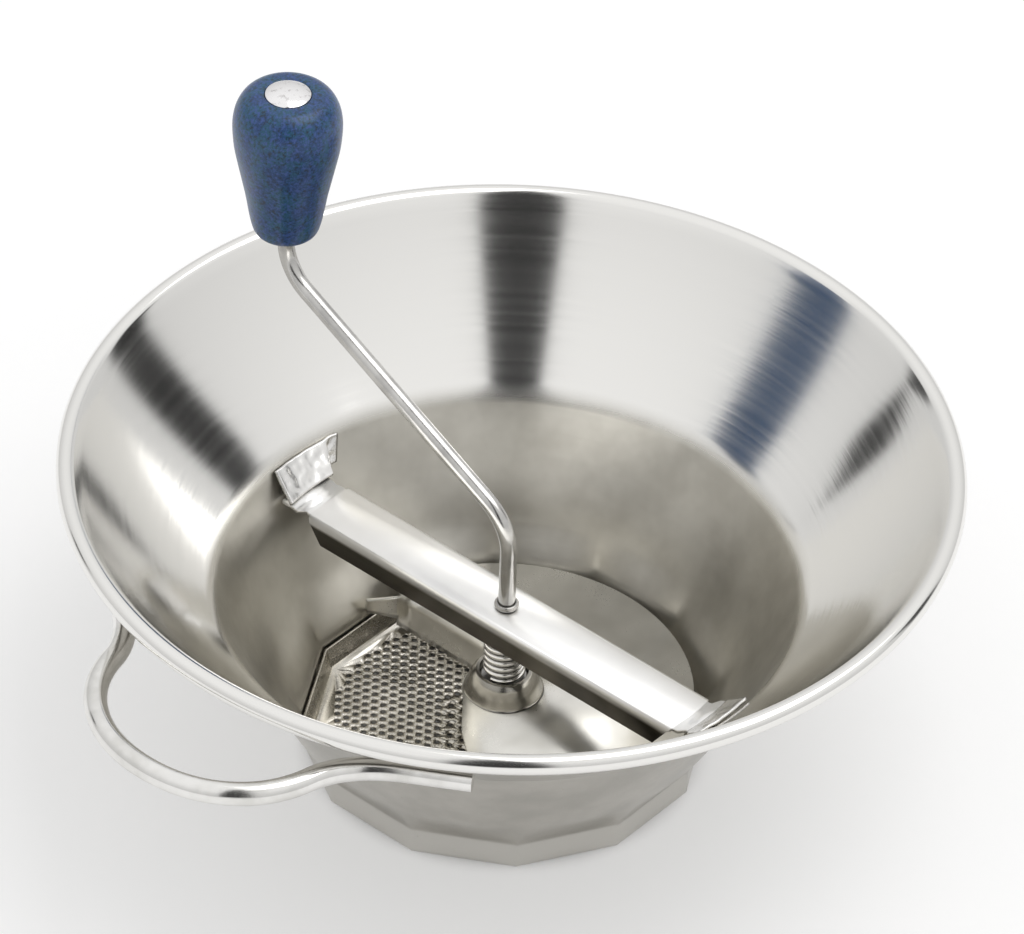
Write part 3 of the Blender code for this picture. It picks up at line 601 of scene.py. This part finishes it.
def sieve_sheet():
    """The pierced disc with its upturned rim."""
    along, across = math.cos(SIEVE_GRAIN), math.sin(SIEVE_GRAIN)
    centres = [(x * along - y * across, x * across + y * along) for x, y in hole_centres()]
    outline = ring_points(SIEVE_FOLD - 0.0012, SIEVE_SIDES, CORNER_TURN)
    flat, solid = pierced_plate(outline, centres, HOLE)
    shape = bmesh.new()
    points = [shape.verts.new((point.x, point.y, SIEVE_TOP)) for point in flat]
    for face in solid:
        shape.faces.new([points[index] for index in face])
    levels = [(SIEVE_FOLD - 0.0012, SIEVE_TOP), (SIEVE_FOLD - 0.0006, SIEVE_TOP + 0.00015),
              (SIEVE_FOLD - 0.0001, SIEVE_TOP + 0.0006), (SIEVE_FOLD, SIEVE_TOP + 0.0012),
              (SIEVE_BRIM - 0.0001, SIEVE_TOP + 0.0072), (SIEVE_BRIM, SIEVE_TOP + 0.0075)]
    rings = []
    for radius, height in levels:
        corners = ring_points(radius, SIEVE_SIDES, CORNER_TURN)
        rings.append([shape.verts.new((x, y, height)) for x, y in corners])
    for lower, upper in zip(rings, rings[1:]):
        for corner in range(SIEVE_SIDES):
            ahead = (corner + 1) % SIEVE_SIDES
            shape.faces.new((lower[corner], lower[ahead], upper[ahead], upper[corner]))
    bmesh.ops.remove_doubles(shape, verts=shape.verts, dist=0.000005)
    bmesh.ops.recalc_face_normals(shape, faces=shape.faces)
    widest = max(shape.faces, key=lambda face: -face.calc_center_median().z + abs(face.normal.z))
    if widest.normal.z < 0:
        bmesh.ops.reverse_faces(shape, faces=shape.faces)
    return shape


def pierced_steel():
    """Dull sheet steel, darker in soft clouds where food has stained it."""
    finish = Finish("sieve_steel")
    clouds = finish.place.specks(45.0, 3.0, 0.6)
    grain = finish.place.specks(1600.0, 2.0, 0.6)
    finish.set(Base_Color=clouds.ramp(0.35, 0.65).blend((0.74, 0.71, 0.65), (0.5, 0.475, 0.42)),
               Metallic=1.0, Roughness=clouds * 0.14 + grain * 0.1 + 0.14)
    finish.bump(clouds + grain * 0.2, 0.0003, 0.35)
    return finish


sieve = add_piece("pierced_sieve", sieve_sheet(), "bowl", pierced_steel(), ["sieve"], 25)
add_sheet(sieve, SIEVE_SHEET, False)


# Crossbar
# A folded channel of stainless sheet across the bowl. Its raised end tabs turn under the lugs.

BAR_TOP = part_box("bar_bush")[1][2]
BAR_SHEET = 0.0015
BAR_HALF = 0.0115
BAR_DEPTH = 0.0093
BAR_BEND = 0.0023
FLANGE_SLANT = 0.0065
TAB_LENGTH = 0.011
TAB_HALF = 0.0092
TAB_SPREAD = 0.0008
TAB_SHIFT = 0.0019
TAB_RISE = 0.0018
TAB_CORNER = 0.0119
TAB_GAP = 0.0008


def channel_section():
    """Section of the channel as (x, height), from one flange's foot over the top to the other."""
    section = [(-BAR_HALF, BAR_TOP - BAR_DEPTH)]
    for step in range(9):
        angle = math.pi - step * math.pi / 16
        x = BAR_BEND - BAR_HALF + BAR_BEND * math.cos(angle)
        section.append((x, BAR_TOP - BAR_BEND + BAR_BEND * math.sin(angle)))
    return section + [(-x, height) for x, height in reversed(section)]


def tab_rows(side, fold, length):
    """Rows of a tab from the channel's top to its end, shifted sideways as a bayonet."""
    shares = ((0.0, 0.0, 0.0), (0.1, 0.03, 0.0), (0.2, 0.15, 0.0), (0.34, 0.45, 1.0),
              (0.46, 0.85, 1.0), (0.58, 1.0, 1.0), (1.0, 1.0, 1.0))
    rows = []
    for run, rise, spread in shares:
        half = TAB_HALF + spread * TAB_SPREAD
        shift = -side * spread * TAB_SHIFT
        height = BAR_TOP + rise * TAB_RISE
        y = side * (fold + run * length)
        rows.append([(shift - half, y, height), (shift + half, y, height)])
    return rows


def channel():
    """The channel and its two tabs as one open sheet."""
    section = channel_section()
    fold = math.sqrt((wall_reach(BAR_TOP) - TAB_GAP) ** 2 - TAB_CORNER ** 2) - TAB_LENGTH
    points = []
    for side in (-1, 1):
        for x, height in section:
            slant = FLANGE_SLANT * (BAR_TOP - height) / BAR_DEPTH
            points.append((x, side * (fold - slant), height))
    count = len(section)
    faces = [(i, i + 1, count + i + 1, count + i) for i in range(count - 1)]
    for side, base in ((-1, 0), (1, count)):
        edge = (base + count // 2 - 1, base + count // 2)
        for row in tab_rows(side, fold, TAB_LENGTH)[1:]:
            first = len(points)
            points.extend(row)
            face = (edge[0], edge[1], first + 1, first)
            faces.append(face if side > 0 else face[::-1])
            edge = (first, first + 1)
    shape = bmesh.new()
    corners = [shape.verts.new(point) for point in points]
    for face in faces:
        shape.faces.new([corners[index] for index in face])
    return shape


def bar_steel():
    """Bright rolled sheet with a few dents, its upright flanges painted dark as shade."""
    finish = Finish("crossbar_steel")
    clouds = finish.place.specks(30.0, 3.0, 0.55)
    grain = (finish.x * 900).join(finish.y * 60, finish.z * 900).specks(1.0, 3.0, 0.6)
    top = finish.z.ramp(BAR_TOP - 0.0032, BAR_TOP - 0.0016)
    bright = clouds.ramp(0.3, 0.75).blend((0.93, 0.925, 0.91), (0.86, 0.85, 0.83))
    # The upright flanges are painted dark as shade, in soft random clouds.
    side = clouds.ramp(0.35, 0.65).blend((0.2, 0.18, 0.15), (0.1, 0.09, 0.07))
    finish.set(Base_Color=top.blend(side, bright), Metallic=1.0,
               Roughness=grain * 0.14 + clouds * 0.1 + 0.24)
    finish.bump(grain * 0.2 + clouds, 0.0002, 0.25)
    return finish


bar = add_piece("channel_bar", channel(), "crossbar", bar_steel(), ["crossbar"], 30)
add_sheet(bar, BAR_SHEET)
for node, shade in (("bar_bush", (0.5, 0.49, 0.47)), ("upper_washer", (0.42, 0.41, 0.4)),
                    ("lower_washer", (0.42, 0.41, 0.4))):
    clad(node, rubbed_steel(node + "_steel", shade))


# Spring
# Nine turns of bright steel wire between the crossbar and the hub. It closes as the blade lifts.

SPRING_WIRE = 0.001
COILS = 9
COIL_STEPS = 36


def coil():
    """Centre line of the spring."""
    low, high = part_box("spring")
    reach = (high[0] - low[0]) / 2 - SPRING_WIRE
    climb = high[2] - low[2] - 2 * SPRING_WIRE
    points = []
    for step in range(COILS * COIL_STEPS + 1):
        angle = 2 * math.pi * step / COIL_STEPS
        height = low[2] + SPRING_WIRE + climb * step / (COILS * COIL_STEPS)
        points.append(Vector((reach * math.cos(angle), reach * math.sin(angle), height)))
    return points


spring = add_wire("coil_spring", coil(), SPRING_WIRE, "crossbar",
                  rubbed_steel("spring_steel", (0.78, 0.77, 0.75), 900.0, 0.18), ["spring"])
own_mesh(spring)


# Crank rod
# A plated round rod, bent up out of the crossbar, along the arm and up into the knob.

ROD_LOW, ROD_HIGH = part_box("crank_rod")
KNOB_LOW, KNOB_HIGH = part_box("knob")
KNOB_AXIS = Vector(((KNOB_LOW[0] + KNOB_HIGH[0]) / 2, (KNOB_LOW[1] + KNOB_HIGH[1]) / 2, 0))
ROD = 0.003
ROD_BEND = 0.018
ARM_RISE = 0.0362
ARM_SLOPE = math.radians(24.2)
crank_reach = KNOB_AXIS - AXIS
arm_base = BAR_TOP + ARM_RISE
arm_top = arm_base + crank_reach.length * math.tan(ARM_SLOPE)
rod_corners = [
    Vector((0, 0, ROD_LOW[2])),
    Vector((0, 0, arm_base)),
    crank_reach + Vector((0, 0, arm_top)),
    crank_reach + Vector((0, 0, ROD_HIGH[2])),
]
rod_path = bent(rod_corners, [ROD_BEND, ROD_BEND], 16)
add_wire("bent_rod", rod_path, ROD, "crank",
         rubbed_steel("rod_plate", (0.62, 0.61, 0.59), 500.0, 0.2), ["crank_rod"])


# Collar
# A small rounded ring, fixed on the rod, that rests on the crossbar.


def arc_line(middle, height, radius, first, last, steps):
    """Points of an arc in the upright plane, in degrees."""
    points = []
    for step in range(steps + 1):
        angle = math.radians(first + (last - first) * step / steps)
        points.append((middle + radius * math.cos(angle), height + radius * math.sin(angle)))
    return points


ROD_HOLE = 0.0033
COLLAR_MIDDLE = 0.0034
COLLAR_ROUND = 0.0009
collar_low, collar_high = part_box("rod_collar")
collar_line = arc_line(COLLAR_MIDDLE, collar_high[2] - COLLAR_ROUND, COLLAR_ROUND, 90, 0, 6)
collar_line += arc_line(COLLAR_MIDDLE, collar_low[2] + COLLAR_ROUND, COLLAR_ROUND, 0, -90, 6)
collar_line += [(ROD_HOLE, collar_low[2]), (ROD_HOLE, collar_high[2])]
add_piece("collar_ring", spun(collar_line, 64, True), "crank",
          rubbed_steel("collar_plate", (0.4, 0.39, 0.37), 700.0, 0.24), ["rod_collar"])


# Hub
# A polished bell of sheet over the blade's middle, with a well that the spring stands in.


def flowing(points, steps):
    """A smooth line through the points."""
    line = [points[0]] + list(points) + [points[-1]]
    path = []
    for before, start, end, after in zip(line, line[1:], line[2:], line[3:]):
        for step in range(steps):
            t = step / steps
            place = []
            for a, b, c, d in zip(before, start, end, after):
                curve = 2 * b + (c - a) * t + (2 * a - 5 * b + 4 * c - d) * t * t
                place.append((curve + (3 * b - a - 3 * c + d) * t ** 3) / 2)
            path.append(tuple(place))
    return path + [tuple(points[-1])]


HUB_LOW, HUB_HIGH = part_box("hub")
HUB = (HUB_HIGH[0] - HUB_LOW[0]) / 2
HUB_CROWN = 0.0095
WELL = 0.0084
WELL_FLOOR = HUB_HIGH[2] - 0.0032
hub_height = HUB_HIGH[2] - HUB_LOW[2]
hub_shares = ((0.0, 0.0), (0.08, 0.01), (0.2, 0.07), (0.42, 0.22), (0.64, 0.48), (0.82, 0.8),
              (0.92, 0.95), (1.0, 1.0))
hub_side = [(HUB_CROWN + (HUB - HUB_CROWN) * run, HUB_HIGH[2] - hub_height * drop)
            for run, drop in hub_shares]
hub_line = flowing(hub_side, 5) + [
    (ROD_HOLE, HUB_LOW[2]), (ROD_HOLE, WELL_FLOOR),
    (WELL - 0.0002, WELL_FLOOR), (WELL, WELL_FLOOR + 0.0002),
    (WELL, HUB_HIGH[2] - 0.0003), (WELL + 0.0003, HUB_HIGH[2]),
]


def pressed_steel(name, light, dark, rough):
    """Polished pressing with soft waves and fine scratches."""
    finish = Finish(name)
    clouds = finish.place.specks(55.0, 2.0, 0.5)
    grain = finish.place.specks(1500.0, 3.0, 0.6)
    finish.set(Base_Color=clouds.ramp(0.3, 0.75).blend(light, dark),
               Metallic=1.0, Roughness=grain * 0.12 + clouds * 0.08 + rough)
    finish.bump(clouds + grain * 0.06, 0.0005, 0.3)
    return finish


# The hub's tones are painted dark, as the dark reflection on its polished bell.
hub_painted_reflection = pressed_steel("hub_steel", (0.34, 0.325, 0.29), (0.22, 0.21, 0.185), 0.12)
add_piece("hub_bell", spun(hub_line, 96, True), "crank", hub_painted_reflection, ["hub"])


# Blade
# A sector of stainless sheet under the hub. Its trailing edge is folded down to a wall that
# sweeps over the sieve, stiffened by a pressed rib and ended by a flap turned along the bowl.

BLADE_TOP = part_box("blade")[1][2]
BLADE_SHEET = 0.0015
BLADE_REACH = 0.0664
TRAIL = 0.015
FOLD_START = 0.0025
FOLD_BEND = 0.0045
WALL_HEIGHT = 0.0154
WALL_INNER = 0.0065
WALL_FOOT_RUN = 0.0095
WALL_STEPS = 40
RIB_PLACE = 0.0545
RIB_WIDTH = 0.0019
RIB_HEIGHT = 0.0009
LEAD_TURN = math.radians(51)
LEAD_SIDE = 0.0182
LEAD_INNER_RUN = 0.02
EYE = 0.0143
FLAP_LENGTH = 0.0112
FLAP_TURN = math.radians(62)
FLAP_DROPS = (0.0012, 0.0016, 0.0022, 0.0034, 0.0052, 0.0066)


def plan_arc(radius, first, last, steps):
    """Points of an arc in plan, in radians."""
    turns = [first + (last - first) * step / steps for step in range(steps + 1)]
    return [(radius * math.cos(turn), radius * math.sin(turn)) for turn in turns]


def plate_edges():
    """The plate's rim, and its edge from the eye round the hub to the leading corner."""
    lead = Vector((math.cos(LEAD_TURN), math.sin(LEAD_TURN)))
    side = Vector((lead.y, -lead.x)) * LEAD_SIDE
    outer = side + lead * math.sqrt(BLADE_REACH ** 2 - LEAD_SIDE ** 2)
    first = math.atan2(outer.y, outer.x)
    last = 3 * math.pi / 2 - math.asin((TRAIL + FOLD_START) / BLADE_REACH)
    eye = plan_arc(EYE, math.radians(201), math.radians(321), 20)
    return plan_arc(BLADE_REACH, first, last, 60), eye + [tuple(side + lead * LEAD_INNER_RUN)]


def wall_stations():
    """Places along the wall, from beside the hub to the sieve's rim."""
    middle = FOOT - 0.0006 - 0.001 - 0.0022
    reach = math.sqrt((middle * math.cos(math.radians(15)) - 0.0016) ** 2 - TRAIL ** 2)
    return [WALL_INNER + (reach - WALL_INNER) * step / WALL_STEPS for step in range(WALL_STEPS + 1)]


def fold_section():
    """Points (x, height) down the folded wall's face."""
    section = []
    for step in range(1, 9):
        angle = step * math.pi / 16
        x = -TRAIL - FOLD_START + FOLD_BEND * math.sin(angle)
        section.append((x, BLADE_TOP - FOLD_BEND * (1 - math.cos(angle))))
    for drop in (0.0068, 0.0094, 0.0125, WALL_HEIGHT):
        section.append((-TRAIL - FOLD_START + FOLD_BEND, BLADE_TOP - drop))
    return section


def wall_rows(shape, fold, stations):
    """Rows of points down the wall from the fold, with the pressed rib, and their faces."""
    rows = [fold]
    section = fold_section()
    for index, (x, height) in enumerate(section):
        share = max(BLADE_TOP - FOLD_BEND - height, 0) / (WALL_HEIGHT - FOLD_BEND)
        row = []
        for place, station in enumerate(stations):
            y = station - (WALL_FOOT_RUN * share if place == 0 else 0.0)
            rib = math.exp(-((station - RIB_PLACE) / RIB_WIDTH) ** 2) * RIB_HEIGHT
            rib *= math.sin(math.pi * (index + 1) / len(section))
            row.append(shape.verts.new((x + rib, -y, height + rib)))
        rows.append(row)
    for upper, lower in zip(rows, rows[1:]):
        for place in range(WALL_STEPS):
            shape.faces.new((upper[place], upper[place + 1], lower[place + 1], lower[place]))
    return rows


def add_flap(shape, edge):
    """Turns the wall's outer end into a flap along the bowl."""
    run = Vector((FLAP_LENGTH * math.sin(FLAP_TURN), -FLAP_LENGTH * math.cos(FLAP_TURN), 0))
    far = [shape.verts.new((point.co.x + run.x, point.co.y + run.y, BLADE_TOP - drop))
           for point, drop in zip(edge, FLAP_DROPS)]
    for place in range(len(edge) - 1):
        shape.faces.new((edge[place], far[place], far[place + 1], edge[place + 1]))


def blade_sheet():
    """Plate, folded wall and flap as one open sheet."""
    stations = wall_stations()
    rim, inner = plate_edges()
    shape = bmesh.new()
    fold = [shape.verts.new((-TRAIL - FOLD_START, -station, BLADE_TOP)) for station in stations]
    plate = [shape.verts.new((x, y, BLADE_TOP)) for x, y in rim]
    plate += fold[::-1] + [shape.verts.new((x, y, BLADE_TOP)) for x, y in inner]
    shape.faces.new(plate)
    rows = wall_rows(shape, fold, stations)
    add_flap(shape, [row[-1] for row in rows[6:12]])
    return shape


blade_finish = pressed_steel("blade_steel", (0.76, 0.745, 0.7), (0.6, 0.585, 0.54), 0.2)
blade = add_piece("blade_sheet", blade_sheet(), "crank", blade_finish, ["blade"], 40)
add_sheet(blade, BLADE_SHEET)
for node in ("end_washer", "end_nut"):
    clad(node, rubbed_steel(node + "_steel", (0.45, 0.44, 0.42)))


# Knob
# Turned wood in a glossy blue lacquer with a fine mottle, free to spin on the rod.

KNOB_HEIGHT = KNOB_HIGH[2] - KNOB_LOW[2]
KNOB = (KNOB_HIGH[0] - KNOB_LOW[0]) / 2
POCKET = 0.0054
POCKET_DEPTH = 0.0032
NUT_ROOM = 0.0055
NUT_SEAT = 0.0491
CAP_HOLE = 0.0082
CAP_SEAT = 0.0541


def knob_line():
    """Section of the knob: its side from top to base, then its pocket, bore and cap seat."""
    shares = ((0.66, 0.992), (0.83, 0.955), (0.935, 0.898), (0.986, 0.835), (1.0, 0.76),
              (0.97, 0.635), (0.905, 0.52), (0.82, 0.385), (0.75, 0.27), (0.685, 0.14),
              (0.635, 0.062), (0.585, 0.02), (0.5, 0.0))
    side = [(0.0085, KNOB_HEIGHT)] + [(KNOB * reach, KNOB_HEIGHT * rise) for reach, rise in shares]
    line = flowing(side, 5)
    line += [(POCKET, 0), (POCKET, POCKET_DEPTH), (ROD_HOLE, POCKET_DEPTH), (ROD_HOLE, NUT_SEAT),
             (NUT_ROOM, NUT_SEAT), (NUT_ROOM, CAP_SEAT), (CAP_HOLE, CAP_SEAT),
             (CAP_HOLE, KNOB_HEIGHT - 0.0002)]
    return [(reach, KNOB_LOW[2] + rise) for reach, rise in line]


def lacquer():
    """Blue lacquer with a teal and violet mottle and dark flecks."""
    finish = Finish("knob_lacquer", KNOB_AXIS)
    fine = finish.place.specks(900.0, 4.0, 0.65)
    wide = finish.place.specks(160.0, 3.0, 0.6)
    teal = wide.ramp(0.4, 0.62).blend((0.007, 0.045, 0.155), (0.006, 0.075, 0.14))
    mottle = fine.ramp(0.48, 0.66).blend(teal, (0.035, 0.08, 0.27))
    flecks = fine.ramp(0.36, 0.48).blend((0.003, 0.02, 0.045), mottle)
    finish.set(Base_Color=flecks, Roughness=fine * 0.12 + 0.34, Coat_Weight=0.15,
               Coat_Roughness=0.2)
    finish.bump(fine + wide * 0.5, 0.00012, 0.35)
    return finish


add_piece("turned_knob", spun(knob_line(), 128, True), "knob", lacquer(), ["knob"], 50, KNOB_AXIS)
for node in ("stop_ring", "push_nut"):
    clad(node, rubbed_steel(node + "_steel", (0.5, 0.49, 0.47), centre=KNOB_AXIS))


# Knob cap
# A bright domed cap pressed into the knob's top. It hides the rod's end.

CAP_LOW, CAP_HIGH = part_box("knob_cap")
CAP = (CAP_HIGH[0] - CAP_LOW[0]) / 2
CAP_SHEET = 0.001
CAP_DOME = 0.0017
cap_shares = ((0.0, 1.0), (0.2, 0.985), (0.38, 0.9), (0.56, 0.77), (0.7, 0.6), (0.82, 0.42),
              (0.92, 0.22), (0.98, 0.08), (1.0, 0.0))
cap_line = [(CAP * reach, CAP_HIGH[2] - CAP_DOME + CAP_DOME * rise)
            for reach, rise in flowing(cap_shares, 3)]
cap_line += [(CAP, CAP_LOW[2]), (CAP - CAP_SHEET, CAP_LOW[2])]
cap_line += [((CAP - CAP_SHEET) * reach, CAP_HIGH[2] - CAP_SHEET - CAP_DOME + CAP_DOME * rise)
             for reach, rise in reversed(cap_shares)]


def cap_chrome():
    """Bright plating with a few dull marks."""
    finish = Finish("cap_chrome", KNOB_AXIS)
    marks = finish.place.specks(420.0, 3.0, 0.6)
    finish.set(Base_Color=marks.ramp(0.55, 0.75).blend((0.88, 0.87, 0.87), (0.55, 0.53, 0.53)),
               Metallic=1.0, Roughness=marks * 0.16 + 0.03)
    finish.bump(marks, 0.00005, 0.4)
    return finish


add_piece("domed_cap", spun(cap_line, 96), "knob", cap_chrome(), ["knob_cap"], 50, KNOB_AXIS)


# Floor
# A plain white sheet that keeps the object's soft shadow, with a painted shadow under the mill.


def floor_white():
    """White, with part of its brightness its own where it is seen, taken away under the mill as a
    painted shadow.
    """
    paper = bpy.data.materials.new("floor_white")
    paper.use_nodes = True
    tree = paper.node_tree
    shader = tree.nodes["Principled BSDF"]
    start = Tone(tree, tree.nodes.new("ShaderNodeLightPath").outputs["Is Camera Ray"])
    glossy = Tone(tree, tree.nodes["Light Path"].outputs["Is Glossy Ray"])
    passing = Tone(tree, tree.nodes["Light Path"].outputs["Is Transmission Ray"])
    seen = start + glossy + passing
    feed(tree, shader.inputs["Base Color"], (0.72, 0.72, 0.72, 1.0))
    feed(tree, shader.inputs["Roughness"], 1.0)
    feed(tree, shader.inputs["Specular IOR Level"], 0.0)
    place = Tone(tree, tree.nodes.new("ShaderNodeTexCoord").outputs["Object"])
    split = tree.nodes.new("ShaderNodeSeparateXYZ")
    feed(tree, split.inputs[0], place)
    x = Tone(tree, split.outputs[0]) - AXIS.x
    y = Tone(tree, split.outputs[1])
    # Under the mill the floor's own glow is taken away, a painted shadow that shows through the
    # sieve's holes.
    outside_painted_shadow = (x * x + y * y).maths("SQRT").ramp(0.06, 0.075)
    glow = seen * outside_painted_shadow
    feed(tree, shader.inputs["Emission Color"], glow.join(glow, glow))
    feed(tree, shader.inputs["Emission Strength"], 0.34)
    return paper


floor_shape = bmesh.new()
bmesh.ops.create_grid(floor_shape, x_segments=1, y_segments=1, size=4,
                      matrix=Matrix.Translation((0, 0, -0.0002)))
floor_mesh = bpy.data.meshes.new("floor")
floor_shape.to_mesh(floor_mesh)
floor_shape.free()
floor_mesh.materials.append(floor_white())
floor = bpy.data.objects.new("floor", floor_mesh)
bpy.context.scene.collection.objects.link(floor)


# Light
# A white studio all round. Bright metal also mirrors its few dark screens.

SCREENS = (
    (39.5, 45, 11.5, 40, 1.2),
    (150, 17, 6.5, 12, 2.0),
    (283, 11.5, 4.5, 4.5, 1.5),
)


def studio():
    """White round the camera's view, and a pale room with dark screens for all else."""
    world = bpy.data.worlds.new("studio")
    world.use_nodes = True
    tree = world.node_tree
    start = Tone(tree, tree.nodes.new("ShaderNodeTexCoord").outputs["Generated"])
    split = tree.nodes.new("ShaderNodeSeparateXYZ")
    feed(tree, split.inputs[0], start)
    x, y, z = (Tone(tree, split.outputs[index]) for index in range(3))
    rise = z.maths("ARCSINE") * (180 / math.pi)
    room = rise.ramp(-5.0, 60.0) * 0.3 + 0.7
    for turn, height, half_width, half_height, soft in SCREENS:
        angle = math.radians(turn)
        ahead = x * math.cos(angle) + y * math.sin(angle)
        across = y * math.cos(angle) - x * math.sin(angle)
        away = across.maths("ARCTAN2", ahead) * (180 / math.pi)
        screen = away.band(-half_width, half_width, soft)
        screen = screen * rise.band(height - half_height, height + half_height, soft)
        room = room * (1 - screen * 0.96)
    seen = Tone(tree, tree.nodes.new("ShaderNodeLightPath").outputs["Is Camera Ray"])
    plain = Tone(tree, tree.nodes["Light Path"].outputs["Is Diffuse Ray"])
    level = seen.blend(plain.blend(room.join(room, room), (0.75, 0.75, 0.75)), (1.0, 1.0, 1.0))
    back = tree.nodes["Background"]
    feed(tree, back.inputs["Color"], level)
    bpy.context.scene.world = world


def soft_lamp(name, place, size, power):
    """A large square lamp that looks at the bowl."""
    lamp = bpy.data.lights.new(name, "AREA")
    lamp.size = size
    lamp.energy = power
    holder = bpy.data.objects.new(name, lamp)
    bpy.context.scene.collection.objects.link(holder)
    turn = (Vector(place) - AXIS).to_track_quat("Z", "Y").to_matrix().to_4x4()
    holder.matrix_world = Matrix.Translation(place) @ turn


studio()
soft_lamp("high_lamp", (-0.6, 0.5, 2.2), 1.6, 14.0)
